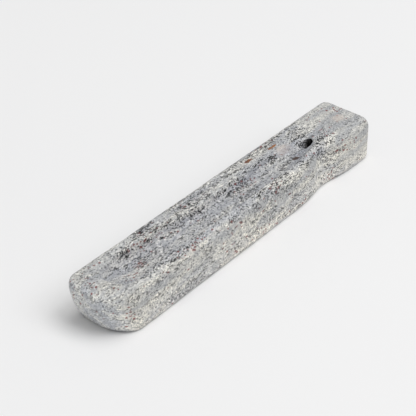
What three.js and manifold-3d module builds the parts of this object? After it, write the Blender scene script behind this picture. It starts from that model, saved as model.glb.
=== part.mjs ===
// Incense burner for one leaning stick, carved from a single bar of speckled granite.
//
// Millimetres, +Z up. +X runs along the bar from the rounded nose to the square end that holds the stick.
// The flat underside lies on Z = 0, with the origin under the middle of the bar's length and width.
//
// The stick leans from a slanted blind bore near the square end, over a long ash trough.
// The trough is deepest near the nose, and its floor climbs to a shallow hollow around the bore.
// The -Y side is pinched in beside the bore.

import * as THREE from 'three';
import { LoftGeometry } from 'three/addons/geometries/LoftGeometry.js';
import { mergeVertices } from 'three/addons/utils/BufferGeometryUtils.js';
import Module from 'manifold-3d';

// The bar
const LENGTH = 237.6; // along the middle of the width, between the skewed ends
const WIDTH = 35.6;
const HEIGHT = 26.1;
const TOP_EDGE_RADIUS = 3;
const SHOULDER_RADIUS = 5.5; // top edge of the -Y side, softer than the others
const BOTTOM_EDGE_RADIUS = 2.2;

// The nose, at -X: wide rounding on the -Y side, tight on the +Y side, and undercut below
const NOSE_NEAR_RUN = 20;
const NOSE_NEAR_DEPTH = 18;
const NOSE_FAR_RADIUS = 6.8;
const NOSE_SKEW = 1.8; // how far the +Y side of the nose stands behind the middle
const NOSE_RAKE = 8.8; // how far the underside stops short of the top
const NOSE_RAKE_POWER = 2;
const NOSE_BLEND = 25; // length over which the rake and the skew die away

// The square end, at +X
const END_FAR_RADIUS = 5;
const END_NEAR_RADIUS = 6;
const END_SKEW = 1.1;

// The waist, a shallow scoop in the -Y side
const WAIST_FROM_END = 48;
const WAIST_SPREAD = 14.5;
const WAIST_DEPTH_LOW = 3.2;
const WAIST_DEPTH_HIGH = 6;

// The ash trough
const NOSE_RIM = 12.5; // stone left between the nose's tip and the trough
const NEAR_RIM = 5.9; // stone left on the -Y side, away from the waist
const NEAR_RIM_BEND = 0.4; // how much of the waist's depth the trough's -Y side follows
const FAR_RIM_NOSE = 8.2; // stone left on the +Y side, at the nose
const FAR_RIM_MIDDLE = 12.2; // and further along
const TROUGH_DEPTH_NOSE = 7.4;
const TROUGH_DEPTH_MIDDLE = 4.8;
const TROUGH_LIP = 2.2; // steep drop at the nose, before the gentle slope
const TROUGH_DEPTH_BORE = 2.7; // in the hollow before the bore
const TROUGH_END_RUN = 10; // length of the round end at the nose, seen from above
const TROUGH_BORE_END_RUN = 15; // length of the round end that the bore opens through
const TROUGH_SLOPE_RUN = 26; // length of the gentle slope at the nose
const TROUGH_CLIMB_RUN = 28; // length over which the floor climbs to the bore's hollow
const TROUGH_HOLLOW_RUN = 16; // length of the hollow before the middle of the bore's mouth
const TROUGH_WALL_POWER = 6; // higher is a flatter floor with steeper walls
const HOLLOW_WALL_POWER = 2.4; // the same, in the hollow around the bore

// The stick's bore, blind and slanted
const BORE_DIAMETER = 6.2;
const BORE_MOUTH_FROM_END = 48.6; // from the square end to the middle of the mouth
const BORE_MOUTH_Y = -2.3;
const BORE_SLOPE_DEG = 25; // above the horizontal, leaning towards the nose
const BORE_LENGTH = 26; // below the mouth's middle, along the bore
const BORE_END_RIM = 5.5; // how far the hollow reaches beyond the mouth's middle

// Fineness of the curves
const CORNER_STEPS = 8;
const NOSE_STEPS = 14;
const SIDE_STEP = 7;
const EDGE_STEPS = 5;
const SIDE_LEVELS = 6;
const TROUGH_STEP = 4.5;
const TROUGH_SECTION_STEPS = 20;
const BORE_SIDES = 24;

const HALF_LENGTH = LENGTH / 2;
const HALF_WIDTH = WIDTH / 2;
const BORE_MOUTH_X = HALF_LENGTH - BORE_MOUTH_FROM_END;
const CLEAR = 3; // how far the trough's cutter stands above the stone

const wasm = await Module();
wasm.setup();

function smoothStep(from, to, value) {
  return THREE.MathUtils.smoothstep(value, from, to);
}

// A closed geometry as a solid that can be joined and cut
function solidFrom(geometry) {
  const bare = new THREE.BufferGeometry();
  bare.setAttribute('position', geometry.attributes.position);
  bare.setIndex(geometry.index);
  const merged = mergeVertices(bare, 1e-4);
  const vertProperties = new Float32Array(merged.attributes.position.array);
  const triVerts = new Uint32Array(merged.index.array);
  return new wasm.Manifold(new wasm.Mesh({ numProp: 3, vertProperties, triVerts }));
}

function geometryFrom(solid) {
  const mesh = solid.getMesh();
  const geometry = new THREE.BufferGeometry();
  geometry.setAttribute('position', new THREE.BufferAttribute(mesh.vertProperties, 3));
  geometry.setIndex(new THREE.BufferAttribute(mesh.triVerts, 1));
  geometry.computeVertexNormals();
  return geometry;
}

// The bar seen from above, counterclockwise from the square end's +Y corner
function planOutline() {
  const corner = (x, y, run, depth, quarter, steps) => {
    const start = (quarter * Math.PI) / 2;
    return new THREE.EllipseCurve(x, y, run, depth, start, start + Math.PI / 2).getPoints(steps);
  };
  const side = (fromX, toX, y) => {
    const steps = Math.ceil(Math.abs(toX - fromX) / SIDE_STEP);
    return new THREE.LineCurve(new THREE.Vector2(fromX, y), new THREE.Vector2(toX, y)).getPoints(steps);
  };
  const noseFarX = -HALF_LENGTH + NOSE_FAR_RADIUS;
  const noseNearX = -HALF_LENGTH + NOSE_NEAR_RUN;
  const endFarX = HALF_LENGTH - END_FAR_RADIUS;
  const endNearX = HALF_LENGTH - END_NEAR_RADIUS;
  const endFarY = HALF_WIDTH - END_FAR_RADIUS;
  const noseFarY = HALF_WIDTH - NOSE_FAR_RADIUS;
  const noseNearY = -HALF_WIDTH + NOSE_NEAR_DEPTH;
  const endNearY = -HALF_WIDTH + END_NEAR_RADIUS;
  const runs = [
    corner(endFarX, endFarY, END_FAR_RADIUS, END_FAR_RADIUS, 0, CORNER_STEPS),
    side(endFarX, noseFarX, HALF_WIDTH),
    corner(noseFarX, noseFarY, NOSE_FAR_RADIUS, NOSE_FAR_RADIUS, 1, CORNER_STEPS),
    corner(noseNearX, noseNearY, NOSE_NEAR_RUN, NOSE_NEAR_DEPTH, 2, NOSE_STEPS),
    side(noseNearX, endNearX, -HALF_WIDTH),
    corner(endNearX, endNearY, END_NEAR_RADIUS, END_NEAR_RADIUS, 3, CORNER_STEPS),
  ];
  const points = runs.flat();
  return points.filter((point, i) => point.distanceTo(points[(i + 1) % points.length]) > 1e-3);
}

// Unit vectors that point out of the outline, one for each of its points
function outwardNormals(outline) {
  return outline.map((point, i) => {
    const before = outline[(i + outline.length - 1) % outline.length];
    const after = outline[(i + 1) % outline.length];
    const along = after.clone().sub(before).normalize();
    return new THREE.Vector2(along.y, -along.x);
  });
}

// The top edge is softer along the -Y side and around the nose
function topEdgeRadius(point) {
  const nearSide = smoothStep(0, HALF_WIDTH, -point.y);
  const nose = 1 - smoothStep(0, NOSE_FAR_RADIUS, point.x + HALF_LENGTH);
  return THREE.MathUtils.lerp(TOP_EDGE_RADIUS, SHOULDER_RADIUS, Math.max(nearSide, nose));
}

// How far a quarter-round edge of this radius draws the surface in, at a given distance from the flat
function edgeInset(radius, distance) {
  const short = Math.max(0, radius - distance);
  return radius - Math.sqrt(radius * radius - short * short);
}

// How far the nose moves along X, at a point and a height
function noseShift(point, z) {
  const rake = NOSE_RAKE * Math.pow(1 - z / HEIGHT, NOSE_RAKE_POWER);
  const skew = (NOSE_SKEW * point.y) / HALF_WIDTH;
  return (rake + skew) * (1 - smoothStep(0, NOSE_BLEND, point.x + HALF_LENGTH));
}

// How far the square end moves along X
function endShift(point) {
  const skew = (END_SKEW * point.y) / HALF_WIDTH;
  return skew * smoothStep(HALF_LENGTH - NOSE_BLEND, HALF_LENGTH, point.x);
}

// How far the -Y side is drawn in by the waist
function waistInset(x, z) {
  const off = (x - (HALF_LENGTH - WAIST_FROM_END)) / WAIST_SPREAD;
  const depth = THREE.MathUtils.lerp(WAIST_DEPTH_LOW, WAIST_DEPTH_HIGH, smoothStep(0, HEIGHT, z));
  return depth * Math.exp(-off * off);
}

// Heights of the loft's levels: close together in the rounded edges, evenly spaced between them
function levelHeights() {
  const quarter = (i) => Math.sin(((i / EDGE_STEPS) * Math.PI) / 2);
  const heights = [];
  for (let i = EDGE_STEPS; i > 0; i--) heights.push(BOTTOM_EDGE_RADIUS * (1 - quarter(i)));
  const low = BOTTOM_EDGE_RADIUS;
  const high = HEIGHT - SHOULDER_RADIUS;
  for (let i = 0; i < SIDE_LEVELS; i++) heights.push(THREE.MathUtils.lerp(low, high, i / SIDE_LEVELS));
  for (let i = 0; i <= EDGE_STEPS; i++) heights.push(high + SHOULDER_RADIUS * quarter(i));
  return heights;
}

// The bar before it is hollowed
function makeBar() {
  const outline = planOutline();
  const normals = outwardNormals(outline);
  const levels = levelHeights().map((z) =>
    outline.map((point, i) => {
      const inset = edgeInset(BOTTOM_EDGE_RADIUS, z) + edgeInset(topEdgeRadius(point), HEIGHT - z);
      const x = point.x - normals[i].x * inset + noseShift(point, z) + endShift(point);
      const nearShare = Math.max(0, -point.y / HALF_WIDTH);
      const y = point.y - normals[i].y * inset + nearShare * waistInset(point.x, z);
      return new THREE.Vector3(x, y, z);
    }),
  );
  return solidFrom(new LoftGeometry(levels, { capStart: true, capEnd: true }));
}

const TROUGH_START_X = -HALF_LENGTH + NOSE_RIM;
const TROUGH_STOP_X = BORE_MOUTH_X + BORE_END_RIM;
const HOLLOW_START_X = BORE_MOUTH_X - TROUGH_HOLLOW_RUN;

// 0 in the deep, wide part of the trough near the nose, 1 from the middle on
function towardsMiddle(x) {
  return smoothStep(TROUGH_SLOPE_RUN, 3 * TROUGH_SLOPE_RUN, x - TROUGH_START_X);
}

// Share of a round end's opening at a distance from where it closes
function roundEnd(distance, run) {
  const short = 1 - Math.min(1, distance / run);
  return Math.sqrt(1 - short * short);
}

// 0 along the trough, 1 in the hollow around the bore
function towardsHollow(x) {
  return smoothStep(HOLLOW_START_X - TROUGH_CLIMB_RUN, HOLLOW_START_X, x);
}

function troughDepth(x) {
  const fromStart = x - TROUGH_START_X;
  const lip = TROUGH_LIP * roundEnd(fromStart, TROUGH_END_RUN / 2);
  const slopeShare = smoothStep(-TROUGH_SLOPE_RUN / 4, TROUGH_SLOPE_RUN, fromStart);
  const slope = (TROUGH_DEPTH_NOSE - TROUGH_LIP) * slopeShare;
  const rise = (TROUGH_DEPTH_NOSE - TROUGH_DEPTH_MIDDLE) * towardsMiddle(x);
  const climb = (TROUGH_DEPTH_MIDDLE - TROUGH_DEPTH_BORE) * towardsHollow(x);
  return (lip + slope - rise - climb) * roundEnd(TROUGH_STOP_X - x, TROUGH_BORE_END_RUN);
}

function troughNearY(x) {
  return -HALF_WIDTH + NEAR_RIM + NEAR_RIM_BEND * waistInset(x, HEIGHT);
}

function troughFarY(x) {
  return HALF_WIDTH - THREE.MathUtils.lerp(FAR_RIM_NOSE, FAR_RIM_MIDDLE, towardsMiddle(x));
}

// One slice across the trough's cutter: over the floor from -Y to +Y, and back above the bar
function troughSection(x) {
  const middle = (troughNearY(x) + troughFarY(x)) / 2;
  const nose = roundEnd(x - TROUGH_START_X, TROUGH_END_RUN);
  const bore = roundEnd(TROUGH_STOP_X - x, TROUGH_BORE_END_RUN);
  const reach = ((troughFarY(x) - troughNearY(x)) / 2) * nose * bore;
  const depth = troughDepth(x);
  const power = THREE.MathUtils.lerp(TROUGH_WALL_POWER, HOLLOW_WALL_POWER, towardsHollow(x));
  const points = [];
  for (let i = 0; i <= TROUGH_SECTION_STEPS; i++) {
    const across = -Math.cos((i / TROUGH_SECTION_STEPS) * Math.PI);
    const share = 1 - Math.pow(Math.abs(across), power);
    points.push(new THREE.Vector3(x, middle + reach * across, HEIGHT - depth * share));
  }
  points.push(new THREE.Vector3(x, middle + reach, HEIGHT + CLEAR));
  points.push(new THREE.Vector3(x, middle - reach, HEIGHT + CLEAR));
  return points;
}

function makeTroughCutter() {
  const length = TROUGH_STOP_X - TROUGH_START_X;
  const steps = Math.ceil(length / TROUGH_STEP);
  const sections = [];
  for (let i = 1; i < steps; i++) {
    const along = (1 - Math.cos((i / steps) * Math.PI)) / 2;
    sections.push(troughSection(TROUGH_START_X + along * length));
  }
  return solidFrom(new LoftGeometry(sections, { capStart: true, capEnd: true }));
}

// A round cutter from the blind end up through the middle of the mouth and clear of the stone
function makeBoreCutter() {
  const slope = THREE.MathUtils.degToRad(BORE_SLOPE_DEG);
  const outward = new THREE.Vector3(-Math.cos(slope), 0, Math.sin(slope));
  const length = BORE_LENGTH + (2 * BORE_DIAMETER) / Math.sin(slope);
  const radius = BORE_DIAMETER / 2;
  const geometry = new THREE.CylinderGeometry(radius, radius, length, BORE_SIDES);
  const turn = new THREE.Quaternion().setFromUnitVectors(new THREE.Vector3(0, 1, 0), outward);
  geometry.applyQuaternion(turn);
  const mouth = new THREE.Vector3(BORE_MOUTH_X, BORE_MOUTH_Y, HEIGHT - troughDepth(BORE_MOUTH_X));
  const middle = mouth.addScaledVector(outward, length / 2 - BORE_LENGTH);
  geometry.translate(middle.x, middle.y, middle.z);
  return solidFrom(geometry);
}

// Puts the origin under the middle of the length and the width
function centre(geometry) {
  geometry.computeBoundingBox();
  const middle = geometry.boundingBox.getCenter(new THREE.Vector3());
  geometry.translate(-middle.x, -middle.y, 0);
}

function makeStone() {
  const solid = makeBar().subtract(makeTroughCutter()).subtract(makeBoreCutter());
  const geometry = geometryFrom(solid);
  centre(geometry);
  const granite = new THREE.MeshStandardMaterial({ color: 0xb1b2b0, roughness: 0.75, metalness: 0 });
  const mesh = new THREE.Mesh(geometry, granite);
  mesh.name = 'stone_body';
  return mesh;
}

const incenseBurner = new THREE.Group();
incenseBurner.add(makeStone());

export default incenseBurner;
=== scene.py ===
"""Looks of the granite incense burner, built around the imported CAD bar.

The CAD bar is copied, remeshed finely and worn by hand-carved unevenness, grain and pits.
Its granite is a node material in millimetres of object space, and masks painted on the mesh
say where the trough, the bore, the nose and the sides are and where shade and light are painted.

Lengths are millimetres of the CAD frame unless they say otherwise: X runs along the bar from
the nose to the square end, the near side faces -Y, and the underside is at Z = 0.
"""

import math

import bmesh
import bpy
import numpy as np
from mathutils import Matrix, Vector, noise


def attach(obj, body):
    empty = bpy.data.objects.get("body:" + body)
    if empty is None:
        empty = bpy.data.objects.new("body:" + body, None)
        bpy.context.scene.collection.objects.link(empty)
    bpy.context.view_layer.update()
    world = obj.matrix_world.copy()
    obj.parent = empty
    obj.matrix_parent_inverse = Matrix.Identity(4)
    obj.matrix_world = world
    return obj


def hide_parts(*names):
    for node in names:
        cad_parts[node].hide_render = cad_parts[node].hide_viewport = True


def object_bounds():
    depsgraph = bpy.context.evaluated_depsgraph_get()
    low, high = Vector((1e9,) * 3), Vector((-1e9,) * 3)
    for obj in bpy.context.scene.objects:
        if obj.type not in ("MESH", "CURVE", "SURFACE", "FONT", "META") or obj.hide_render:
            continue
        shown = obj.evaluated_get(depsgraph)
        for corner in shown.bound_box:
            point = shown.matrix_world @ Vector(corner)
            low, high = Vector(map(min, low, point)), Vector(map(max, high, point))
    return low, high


MM = 0.001

# Camera
TARGET = (11.43, 24.52, 0.0)
DISTANCE = 820.7
ELEVATION_DEG = 31.76
TURN_DEG = 53.475  # from +Y towards +X, the way the camera looks
LENS = 126.26
SENSOR = 36.0

# Studio. These lengths are metres
FLOOR_REACH = 4.0
WORLD_STRENGTH = 0.47
LIGHTS = (  # name, position, diameter, watts
    ("key", (0.6, -2.6, 3.3), 3.0, 58),
    ("overhead", (0.6, -0.7, 3.8), 2.8, 55),
)

# Mesh of the carved stone
WELD_DISTANCE = 0.001
FACE_SIZE = 0.45
SMOOTHING_STEPS = 3

# Unevenness of the hand-carved faces: depth, and length of the waves
SWELL_DEPTH = 0.2
SWELL_LENGTH = 27.0
DRESSING_DEPTH = 0.08
DRESSING_LENGTH = 6.5
GRAIN_DEPTH = 0.06
GRAIN_LENGTH = 1.7
SEED_SHIFT = (17.3, 5.1, 9.7)  # in wave lengths, so that each set of waves is its own
WEAR_Z = (0.2, 2.2)  # the wear fades in above the flat underside

PIT_DEPTH = 0.25
PIT_SPACING = 5.5
PIT_RADIUS = 0.9
PIT_LOT_SCALE = 7.31
PIT_SIZE_SPREAD = 1.5
PIT_SIZE_OFFSET = -0.5  # a cell whose size comes out below 0 has no pit

# Where the parts of the bar lie. Each pair is where a mask fades from 0 to 1, or for an end
# or a far side from 1 to 0. A slope is the part of the surface normal along one axis.
TROUGH_START_X = (-111, -106)
TROUGH_END_X = (70, 79)
TROUGH_NEAR_Y = (-13.5, -12)
TROUGH_FAR_Y = (10, 11.5)
TROUGH_DEPTH = (0.2, 2.5)
TROUGH_WALL_SLOPE = (0.12, 0.7)
TROUGH_FLOOR_SLOPE = (0.8, 0.97)
NEAR_WALL_END_X = (30, 50)
# The strip of trough floor along the near wall is painted darker, as painted shade in the crease
GUTTER_FAR_Y = (-10.5, -7)
GUTTER_DEPTH = (0.5, 2.5)
GUTTER_EXTRA_WIDTH = 2.5  # in the bowl at the nose
GUTTER_EXTRA_END_X = (-85, -60)
DISH_START_X = (45, 56)  # the shallow hollow that the bore opens through
DISH_END_X = (74, 80)
DISH_NEAR_Y = (-12, -9)
DISH_DEPTH = (0.3, 1.4)
BORE_Y = -2.3
BORE_REACH = 4.0  # how far from its middle line the stone inside the bore is painted dark as shade
BORE_START_X = (60, 64)
BORE_END_X = (98, 100)
BORE_BOTTOM_Z = (6, 8)
BORE_DEPTH = (3.2, 7.0)
BLOCK_START_X = (74, 98)
NOSE_FACE_END_X = (-110, -98)
NOSE_SLOPE = (0.2, 0.8)
NOSE_END_X = (-104, -78)
SIDE_SLOPE = (0.3, 0.9)
FOOT_TOP_Z = (4, 20)

# How much quieter the pattern is on each part
CALM_SIDE = 0.2
CALM_BLOCK = 0.55
CALM_NOSE = 0.36
CALM_FLOOR = 0.16
CALM_NEAR_WALL = 0.4

# The stone's layers: how they turn and are drawn out, and how far folds of this length bend them
LAYER_TURN_DEG = (0, 14, 4)
LAYER_SCALE = (0.09, 0.6, 0.6)
FABRIC_SCALE = (0.74, 1.25, 1.25)
FOLD_LENGTH = 14.0
LAYER_FOLD = 9.0
FABRIC_FOLD = 4.5
GRAIN_WARP = {"length": 0.6, "reach": 0.45, "detail": 1.0}

# Streaks of mica and clouds of lighter and darker stone: length and detail, and the noise
# values between which they fade in. The scale above makes them longer along the bar
STREAKS = {"length": 1.5, "detail": 3.0}
STREAK_RANGE = (0.45, 0.62)
CLOUDS = {"length": 3.1, "detail": 3.0}
CLOUD_RANGE = (0.35, 0.65)
CLOUD_DARK = (0.78, 0.80, 0.84, 1)
CLOUD_LIGHT = (1.12, 1.11, 1.07, 1)

# Crystals: size of their cells, colours, and radii in cells
FELDSPAR_CELL = 0.62
FELDSPAR_STEPS = (
    (0.0, (0.18, 0.185, 0.19)),
    (0.13, (0.445, 0.445, 0.45)),
    (0.35, (0.59, 0.585, 0.57)),
    (0.68, (0.74, 0.73, 0.705)),
    (0.88, (0.90, 0.89, 0.86)),
)
QUARTZ_CELL = 1.3
QUARTZ_RANGE = (0.5, 0.75)
QUARTZ_SHARE = 0.5
QUARTZ_COLOUR = (0.42, 0.425, 0.435, 1)
MICA_CELL = 0.74
MICA_RADIUS = 0.45
MICA_SPREAD = 0.35
MICA_COLOUR = (0.012, 0.012, 0.014, 1)
MICA_EVERYWHERE = 0.12  # share of the cells that hold mica
MICA_IN_BANDS = 0.6  # and how many more where it crowds together
PLAIN_COLOUR = (0.46, 0.46, 0.45, 1)  # what the pattern fades towards where it is calm
PLAIN_SHARE = 0.4
PLAIN_RANGE = (1.0, 0.5)  # while liveliness falls from the first to the second
GARNET_CELL = 1.6
GARNET_RADIUS = 0.22
GARNET_SPREAD = 0.3
GARNET_COLOUR = (0.19, 0.055, 0.052, 1)
GARNET_OPACITY = 0.9
GARNET_EVERYWHERE = 0.025
GARNET_BANDS = {"length": 3.6, "detail": 1.0}
GARNET_BAND_RANGE = (0.56, 0.72)
GARNET_BAND_SHARE = 0.45

# Marks that stand out in the photo: middle, reach along X, Y and Z, and strength. Their edges
# are bent by noise, and a mark is full within its core, a share of the reach
RAGGED_EDGE = {"length": 2.2, "reach": 5.0, "detail": 3.0}
FRAYED_EDGE = {"length": 1.6, "reach": 1.6, "detail": 3.0}
SOFT_CORE = 0.45
SHARP_CORE = 0.7
PEPPER_MARKS = (
    ((18, -17.5, 24.5), (9, 5, 4), 1.0),
    ((-76.5, 1.5, 19), (5, 4, 4), 1.0),
    ((101, -11, 26), (6, 3, 4), 1.0),
    ((-111, 7, 26), (9, 8, 4), 0.4),
)
GARNET_MARKS = (
    ((-76.5, 1.5, 19), (5.5, 4.5, 4), 0.95),
    ((-67, 10, 24), (8, 3, 4), 0.5),
    ((-61, -17, 25.5), (12, 4, 3), 0.8),
    ((-28, 8, 22), (6, 3, 3), 0.5),
    ((19, 0, 21.5), (7, 6, 3), 0.55),
    ((18, -17.5, 24.5), (8, 5, 4), 0.7),
    ((70, -17, 25), (7, 4, 4), 0.5),
    ((-113, 4, 26), (5, 7, 4), 0.6),
    ((84, -1, 26), (5, 2, 2), 0.7),
    ((-107, -17, 14), (5, 4, 5), 0.6),
)
RUST_MARKS = (
    ((30.8, 11.1, 26.1), (4.0, 1.3, 2), 0.95),
    ((51.9, 9.4, 26.1), (5.0, 0.9, 2), 0.95),
)
RUST_MOTTLE_LENGTH = 1.5
RUST_MOTTLE_RANGE = (0.4, 0.6)
RUST_DARK = (0.11, 0.03, 0.01, 1)
RUST_BRIGHT = (0.32, 0.115, 0.02, 1)
KNOT_MARKS = (((52.8, -6.4, 23.6), (2.6, 2.0, 2.5), 0.9),)
KNOT_COLOUR = (0.06, 0.028, 0.018, 1)
PALE_MARKS = (
    ((55, 3, 26), (9, 5, 4), 0.6),
    ((103.5, -2.0, 26.1), (6, 5, 4), 0.6),
)
PALE_COLOUR = (0.60, 0.53, 0.48, 1)

# The trough is bluer than the rest, a tone of the stone, and darker with painted shade, as are the
# strip along its near wall, its walls, the dish and the bore. The foot and the nose are lighter
# with painted light
PAINTED_SHADE_LIGHT_AND_TINTS = (
    # the trough: the stone's bluer tone there, and painted shade darkening the hollow
    ("hollow", (0.935, 0.937, 0.955, 1)),
    # painted shade in the crease along the foot of the near wall
    ("gutter_shade", (0.80, 0.81, 0.84, 1)),
    # painted shade on the far wall of the trough
    ("far_wall_shade", (0.875, 0.878, 0.90, 1)),
    # painted shade on the near wall of the trough
    ("near_wall", (0.70, 0.708, 0.745, 1)),
    # painted shade in the shallow dish by the bore, with the trough's bluer tone
    ("dish", (0.88, 0.895, 0.93, 1)),
    # painted shade: the inside of the bore darkened nearly to black
    ("bore", (0.22, 0.21, 0.2, 1)),
    ("side", (0.99, 0.98, 0.955, 1)),
    # painted light: the sides lightened towards the floor, as if lit by light thrown up from it
    ("foot_bounce_light", (1.22, 1.21, 1.20, 1)),
    # painted light on the end face of the nose that faces -X
    ("nose", (1.30, 1.31, 1.33, 1)),
)

# Surface of the honed stone, where the mica is glossier than the rest
STONE_ROUGHNESS = 0.6
MICA_GLOSS = 0.2
STONE_SPECULAR = 0.35
BUMP = {"length": 0.8, "detail": 4.0}
BUMP_STRENGTH = 0.5
BUMP_HEIGHT = 0.12

# Floor: two nearly equal whites, mottled. The scale is per metre
FLOOR_COLOURS = ((0.86, 0.86, 0.865, 1), (0.88, 0.88, 0.88, 1))
FLOOR_MOTTLE_SCALE = 3.0
FLOOR_MOTTLE_RANGE = (0.3, 0.7)
FLOOR_ROUGHNESS = (0.85, 0.95)
FLOOR_SPECULAR = 0.1

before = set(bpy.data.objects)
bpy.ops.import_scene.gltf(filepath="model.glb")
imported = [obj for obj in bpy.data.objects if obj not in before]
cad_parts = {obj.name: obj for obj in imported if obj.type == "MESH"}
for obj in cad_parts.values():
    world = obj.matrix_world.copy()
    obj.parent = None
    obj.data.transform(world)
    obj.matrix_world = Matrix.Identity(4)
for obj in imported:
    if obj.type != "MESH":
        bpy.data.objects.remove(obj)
cad_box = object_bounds()


# ---- mesh ----------------------------------------------------------------------------------


def remeshed_copy(source, name):
    """A copy of a CAD node with small even faces and its facets smoothed away."""
    merged = bmesh.new()
    merged.from_mesh(source.data)
    bmesh.ops.remove_doubles(merged, verts=merged.verts, dist=WELD_DISTANCE * MM)
    mesh = bpy.data.meshes.new(name)
    merged.to_mesh(mesh)
    merged.free()
    rough = bpy.data.objects.new(name + "_rough", mesh)
    bpy.context.scene.collection.objects.link(rough)
    remesh = rough.modifiers.new("remesh", "REMESH")
    remesh.mode = "VOXEL"
    remesh.voxel_size = FACE_SIZE * MM
    smooth = rough.modifiers.new("smooth", "SMOOTH")
    smooth.iterations = SMOOTHING_STEPS
    depsgraph = bpy.context.evaluated_depsgraph_get()
    fine = bpy.data.meshes.new_from_object(rough.evaluated_get(depsgraph))
    bpy.data.objects.remove(rough)
    stone = bpy.data.objects.new(name, fine)
    bpy.context.scene.collection.objects.link(stone)
    fine.materials.clear()
    fine.shade_smooth()
    return stone


def rise(value, low, high):
    """0 up to low, 1 from high on, and smooth in between."""
    share = np.clip((value - low) / (high - low), 0, 1)
    return share * share * (3 - 2 * share)


def fall(value, low, high):
    return 1 - rise(value, low, high)


def waves(points, length, seed):
    """Smooth noise, about -1 to 1, at each point."""
    shift = Vector([seed * share for share in SEED_SHIFT])
    return np.array([noise.noise(Vector(p) / length + shift) for p in points])


def pits(points):
    """1 at the middle of a pit, 0 outside. Pits have different sizes, and some cells have none."""
    depth = np.zeros(len(points))
    for i, p in enumerate(points):
        distances, centres = noise.voronoi(Vector(p) / PIT_SPACING)
        size = noise.cell(centres[0] * PIT_LOT_SCALE) * PIT_SIZE_SPREAD + PIT_SIZE_OFFSET
        if size > 0:
            depth[i] = 1 - distances[0] * PIT_SPACING / (PIT_RADIUS * size)
    return rise(depth, 0, 1)


def coordinates(mesh):
    flat = np.empty(len(mesh.vertices) * 3, np.float32)
    mesh.vertices.foreach_get("co", flat)
    return flat.reshape(-1, 3).astype(float) / MM


def normals(mesh):
    flat = np.empty(len(mesh.vertices) * 3, np.float32)
    mesh.vertex_normals.foreach_get("vector", flat)
    return flat.reshape(-1, 3).astype(float)


def paint_masks(mesh):
    """Says on each point how far it belongs to a part of the bar, where shade and light are
    painted, and how calm its pattern is.
    """
    x, y, z = coordinates(mesh).T
    facing_x, facing_y, facing_z = normals(mesh).T
    depth = cad_box[1][2] / MM - z

    along = rise(x, *TROUGH_START_X) * fall(x, *TROUGH_END_X)
    across = rise(y, *TROUGH_NEAR_Y) * fall(y, *TROUGH_FAR_Y)
    hollow = along * across * rise(depth, *TROUGH_DEPTH)
    floor = hollow * rise(facing_z, *TROUGH_FLOOR_SLOPE)
    before_bore = fall(x, *NEAR_WALL_END_X)
    # the near wall: painted shade on it, and a calmer pattern
    near_wall = before_bore * hollow * rise(facing_y, *TROUGH_WALL_SLOPE)
    side = (1 - along * across) * rise(np.abs(facing_y), *SIDE_SLOPE)

    # painted shade: the floor along the near wall, wider in the bowl, is darkened
    from_near_wall = y - GUTTER_EXTRA_WIDTH * fall(x, *GUTTER_EXTRA_END_X)
    gutter_shade = along * fall(from_near_wall, *GUTTER_FAR_Y) * rise(depth, *GUTTER_DEPTH)
    gutter_shade *= before_bore * (1 - side) * rise(y, *TROUGH_NEAR_Y)

    # painted shade in the shallow dish that the bore opens through
    dish = rise(x, *DISH_START_X) * fall(x, *DISH_END_X)
    dish *= rise(y, *DISH_NEAR_Y) * rise(depth, *DISH_DEPTH)
    # painted shade inside the bore
    bore = (np.abs(y - BORE_Y) < BORE_REACH) * rise(x, *BORE_START_X) * fall(x, *BORE_END_X)
    bore *= rise(z, *BORE_BOTTOM_Z) * rise(depth, *BORE_DEPTH)

    masks = {
        # the trough: bluer stone darkened by painted shade
        "hollow": hollow,
        # painted shade on the far wall of the trough
        "far_wall_shade": hollow * rise(-facing_y, *TROUGH_WALL_SLOPE),
        "near_wall": near_wall,
        "gutter_shade": gutter_shade,
        "dish": dish,
        "bore": bore,
        "side": side,
        # painted light on the lower sides, as if thrown up from the floor
        "foot_bounce_light": side * fall(z, *FOOT_TOP_Z),
        # painted light on the end face of the nose that faces -X
        "nose": fall(x, *NOSE_FACE_END_X) * rise(-facing_x, *NOSE_SLOPE),
        "calm": np.max([
            CALM_SIDE * side,
            CALM_BLOCK * rise(x, *BLOCK_START_X),
            CALM_NOSE * fall(x, *NOSE_END_X),
            CALM_FLOOR * floor,
            CALM_NEAR_WALL * near_wall,
        ], axis=0),
    }
    for name, values in masks.items():
        attribute = mesh.attributes.new(name, "FLOAT", "POINT")
        attribute.data.foreach_set("value", np.clip(values, 0, 1).astype(np.float32))


def wear(mesh):
    """Moves the surface in and out by fractions of a millimetre. The flat underside stays flat."""
    at = coordinates(mesh)
    swell = SWELL_DEPTH * waves(at, SWELL_LENGTH, 1)
    dressing = DRESSING_DEPTH * waves(at, DRESSING_LENGTH, 2)
    grain = GRAIN_DEPTH * waves(at, GRAIN_LENGTH, 3)
    lift = swell + dressing + grain - PIT_DEPTH * pits(at)
    lift *= rise(at[:, 2], *WEAR_Z)
    at += normals(mesh) * lift[:, None]
    low = np.array(cad_box[0]) / MM
    high = np.array(cad_box[1]) / MM
    at = np.clip(at, low, high)
    mesh.vertices.foreach_set("co", (at * MM).astype(np.float32).ravel())
    mesh.update()


# ---- material ------------------------------------------------------------------------------


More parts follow.
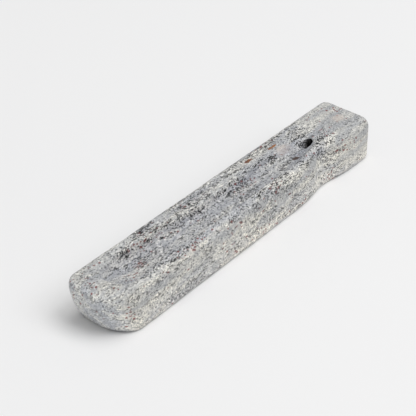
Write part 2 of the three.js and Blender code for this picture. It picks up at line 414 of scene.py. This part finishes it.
class Graph:
    """Adds nodes to one material."""

    def __init__(self, name):
        self.material = bpy.data.materials.new(name)
        self.material.use_nodes = True
        self.tree = self.material.node_tree
        self.shader = self.tree.nodes["Principled BSDF"]

    def put(self, socket, value):
        """Links a socket, or sets a number or colour on it."""
        if isinstance(value, bpy.types.NodeSocket):
            self.tree.links.new(value, socket)
        else:
            socket.default_value = value

    def node(self, kind, inputs=None, **settings):
        made = self.tree.nodes.new(kind)
        for key, value in settings.items():
            setattr(made, key, value)
        for key, value in (inputs or {}).items():
            self.put(made.inputs[key], value)
        return made

    def math(self, operation, a, b=0.0, c=0.0, clamp=False):
        inputs = {0: a, 1: b, 2: c}
        return self.node("ShaderNodeMath", inputs, operation=operation, use_clamp=clamp).outputs[0]

    def vector(self, operation, a, b):
        return self.node("ShaderNodeVectorMath", {0: a, 1: b}, operation=operation).outputs[0]

    def stretch(self, vector, scale, turn_deg=(0, 0, 0)):
        turn = [math.radians(v) for v in turn_deg]
        inputs = {"Vector": vector, "Scale": scale, "Rotation": turn}
        return self.node("ShaderNodeMapping", inputs).outputs[0]

    def noise(self, vector, length, detail=2.0):
        inputs = {"Vector": vector, "Scale": 1 / length, "Detail": detail}
        return self.node("ShaderNodeTexNoise", inputs)

    def level(self, vector, length, detail=2.0):
        """One smooth random number, 0 to 1."""
        return self.noise(vector, length, detail).outputs["Fac"]

    def warp(self, vector, length, reach, detail=2.0):
        """The coordinates, moved by smooth noise of this length."""
        colour = self.noise(vector, length, detail).outputs["Color"]
        shift = self.vector("SUBTRACT", colour, (0.5, 0.5, 0.5))
        return self.vector("ADD", vector, self.vector("MULTIPLY", shift, (reach, reach, reach)))

    def cells(self, vector, size):
        return self.node("ShaderNodeTexVoronoi", {"Vector": vector, "Scale": 1 / size})

    def lots(self, cells):
        """Three random numbers, 0 to 1, for each cell."""
        return self.node("ShaderNodeSeparateColor", {0: cells.outputs["Color"]}).outputs

    def span(self, value, low, high, to_low=0.0, to_high=1.0):
        """Goes smoothly from to_low to to_high while the value goes from low to high."""
        inputs = {
            "Value": value, "From Min": low, "From Max": high,
            "To Min": to_low, "To Max": to_high,
        }
        made = self.node("ShaderNodeMapRange", inputs, interpolation_type="SMOOTHSTEP")
        return made.outputs[0]

    def mask(self, name):
        return self.node("ShaderNodeAttribute", attribute_name=name).outputs["Fac"]

    def mix(self, share, a, b, blend="MIX"):
        """A Mix node's colours are its inputs 6 and 7 and its output 2."""
        made = self.node("ShaderNodeMix", data_type="RGBA", blend_type=blend)
        self.put(made.inputs[0], share)
        self.put(made.inputs[6], a)
        self.put(made.inputs[7], b)
        return made.outputs[2]

    def steps(self, value, stops):
        """A ramp of flat steps: (start, colour) pairs."""
        made = self.node("ShaderNodeValToRGB", {"Fac": value})
        ramp = made.color_ramp
        ramp.interpolation = "CONSTANT"
        while len(ramp.elements) < len(stops):
            ramp.elements.new(0.5)
        for element, (start, colour) in zip(ramp.elements, stops):
            element.position = start
            element.color = (*colour, 1)
        return made.outputs[0]


def add_all(g, values):
    """The values added up, at most 1."""
    total = values[0]
    for value in values[1:]:
        total = g.math("ADD", total, value, clamp=True)
    return total


def marks(g, at, table, core=SOFT_CORE):
    """For each mark of a table, its strength within its core, and 0 outside its reach."""
    found = []
    for middle, reach, strength in table:
        share = g.vector("DIVIDE", g.vector("SUBTRACT", at, middle), reach)
        length = g.node("ShaderNodeVectorMath", {0: share}, operation="LENGTH").outputs["Value"]
        found.append(g.math("MULTIPLY", g.span(length, core, 1.0, 1.0, 0.0), strength))
    return found


def specks(g, cells, first, crowd, radius, spread):
    """1 inside a speck. Crowd is the share of the cells that hold one, and the radii run from
    radius to radius + spread. First says which of the cell's random numbers are used."""
    lots = g.lots(cells)
    chosen = g.math("LESS_THAN", lots[first], crowd)
    size = g.math("MULTIPLY_ADD", lots[first + 1], spread, radius)
    return g.math("MULTIPLY", chosen, g.math("LESS_THAN", cells.outputs["Distance"], size))


def crystals(g, grain, band, lively):
    """Light feldspar and grey quartz, with black mica that crowds together where band is 1."""
    colour = g.steps(g.lots(g.cells(grain, FELDSPAR_CELL))[0], FELDSPAR_STEPS)
    quartz = g.lots(g.cells(grain, QUARTZ_CELL))[1]
    grey = g.span(quartz, *QUARTZ_RANGE, 0.0, QUARTZ_SHARE)
    colour = g.mix(grey, colour, QUARTZ_COLOUR)
    crowd = g.math("MULTIPLY_ADD", band, MICA_IN_BANDS, MICA_EVERYWHERE)
    crowd = g.math("MULTIPLY", crowd, lively)
    mica = specks(g, g.cells(grain, MICA_CELL), 0, crowd, MICA_RADIUS, MICA_SPREAD)
    colour = g.mix(mica, colour, MICA_COLOUR)
    plain = g.span(lively, *PLAIN_RANGE, 0.0, PLAIN_SHARE)
    return g.mix(plain, colour, PLAIN_COLOUR), mica


def garnets(g, fabric, layers, ragged, lively):
    """1 inside a garnet: sparse everywhere, and crowded along some layers and in clusters."""
    bands = g.span(g.level(layers, **GARNET_BANDS), *GARNET_BAND_RANGE, 0.0, GARNET_BAND_SHARE)
    crowd = add_all(g, [bands, *marks(g, ragged, GARNET_MARKS)])
    crowd = g.math("MULTIPLY", g.math("ADD", crowd, GARNET_EVERYWHERE), lively)
    return specks(g, g.cells(fabric, GARNET_CELL), 1, crowd, GARNET_RADIUS, GARNET_SPREAD)


def granite():
    g = Graph("granite")
    at = g.stretch(g.node("ShaderNodeTexCoord").outputs["Object"], (1 / MM, 1 / MM, 1 / MM))
    layers = g.stretch(g.warp(at, FOLD_LENGTH, LAYER_FOLD), LAYER_SCALE, LAYER_TURN_DEG)
    fabric = g.stretch(g.warp(at, FOLD_LENGTH, FABRIC_FOLD), FABRIC_SCALE, LAYER_TURN_DEG)
    ragged = g.warp(at, **RAGGED_EDGE)
    frayed = g.warp(at, **FRAYED_EDGE)
    lively = g.math("SUBTRACT", 1.0, g.mask("calm"))

    streaks = g.span(g.level(layers, **STREAKS), *STREAK_RANGE)
    band = add_all(g, [streaks, *marks(g, ragged, PEPPER_MARKS)])
    colour, mica = crystals(g, g.warp(fabric, **GRAIN_WARP), band, lively)
    clouds = g.span(g.level(layers, **CLOUDS), *CLOUD_RANGE)
    colour = g.mix(1.0, colour, g.mix(clouds, CLOUD_DARK, CLOUD_LIGHT), "MULTIPLY")
    garnet = garnets(g, fabric, layers, ragged, lively)
    colour = g.mix(g.math("MULTIPLY", garnet, GARNET_OPACITY), colour, GARNET_COLOUR)

    rust = g.span(g.level(at, RUST_MOTTLE_LENGTH), *RUST_MOTTLE_RANGE)
    for found, stain in (
        (marks(g, frayed, RUST_MARKS, SHARP_CORE), g.mix(rust, RUST_DARK, RUST_BRIGHT)),
        (marks(g, frayed, KNOT_MARKS, SHARP_CORE), KNOT_COLOUR),
        (marks(g, ragged, PALE_MARKS), PALE_COLOUR),
    ):
        colour = g.mix(add_all(g, found), colour, stain)
    # Each mask multiplies the colour by its tint: painted shade, painted light, and the trough's
    # bluer tone
    for name, tint in PAINTED_SHADE_LIGHT_AND_TINTS:
        colour = g.mix(g.mask(name), colour, g.mix(1.0, colour, tint, "MULTIPLY"))
    g.put(g.shader.inputs["Base Color"], colour)

    roughness = g.math("MULTIPLY_ADD", mica, -MICA_GLOSS, STONE_ROUGHNESS)
    g.put(g.shader.inputs["Roughness"], roughness)
    g.put(g.shader.inputs["Specular IOR Level"], STONE_SPECULAR)
    bump = g.node("ShaderNodeBump", {
        "Strength": BUMP_STRENGTH,
        "Distance": BUMP_HEIGHT * MM,
        "Height": g.level(at, **BUMP),
    })
    g.put(g.shader.inputs["Normal"], bump.outputs[0])
    return g.material


# ---- floor, light and camera ---------------------------------------------------------------


def pale_floor():
    g = Graph("pale_floor")
    mottle = g.level(g.node("ShaderNodeTexCoord").outputs["Object"], 1 / FLOOR_MOTTLE_SCALE)
    g.put(g.shader.inputs["Base Color"], g.mix(mottle, *FLOOR_COLOURS))
    g.put(g.shader.inputs["Roughness"], g.span(mottle, *FLOOR_MOTTLE_RANGE, *FLOOR_ROUGHNESS))
    g.put(g.shader.inputs["Specular IOR Level"], FLOOR_SPECULAR)
    return g.material


def make_floor():
    mesh = bpy.data.meshes.new("floor")
    square = ((-1, -1), (1, -1), (1, 1), (-1, 1))
    corners = [(x * FLOOR_REACH, y * FLOOR_REACH, 0) for x, y in square]
    mesh.from_pydata(corners, [], [(0, 1, 2, 3)])
    mesh.materials.append(pale_floor())
    floor = bpy.data.objects.new("floor", mesh)
    bpy.context.scene.collection.objects.link(floor)


def soft_light(name, position, diameter, watts):
    """A round area light that faces the object."""
    light = bpy.data.lights.new(name, "AREA")
    light.shape = "DISK"
    light.size = diameter
    light.energy = watts
    lamp = bpy.data.objects.new(name, light)
    lamp.location = position
    lamp.rotation_euler = (-Vector(position)).to_track_quat("-Z", "Y").to_euler()
    bpy.context.scene.collection.objects.link(lamp)


def light_scene():
    world = bpy.data.worlds.new("studio")
    bpy.context.scene.world = world
    world.use_nodes = True
    background = world.node_tree.nodes["Background"]
    background.inputs["Color"].default_value = (1, 1, 1, 1)
    background.inputs["Strength"].default_value = WORLD_STRENGTH
    for settings in LIGHTS:
        soft_light(*settings)
    bpy.context.scene.view_settings.view_transform = "Standard"


def make_camera():
    turn = math.radians(TURN_DEG)
    elevation = math.radians(ELEVATION_DEG)
    right = Vector((math.cos(turn), -math.sin(turn), 0))
    away = Vector((math.sin(turn), math.cos(turn), 0))
    forward = away * math.cos(elevation) - Vector((0, 0, math.sin(elevation)))
    camera = bpy.data.objects.new("camera", bpy.data.cameras.new("camera"))
    camera.data.lens = LENS
    camera.data.sensor_width = SENSOR
    axes = Matrix((right, right.cross(forward), -forward)).transposed().to_4x4()
    axes.translation = Vector(TARGET) * MM - forward * DISTANCE * MM
    camera.matrix_world = axes
    bpy.context.scene.collection.objects.link(camera)
    bpy.context.scene.camera = camera


# ---- scene ---------------------------------------------------------------------------------

stone = remeshed_copy(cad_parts["stone_body"], "carved_stone")
paint_masks(stone.data)
wear(stone.data)
stone.data.materials.append(granite())
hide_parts("stone_body")
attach(stone, "root")

make_floor()
light_scene()
make_camera()
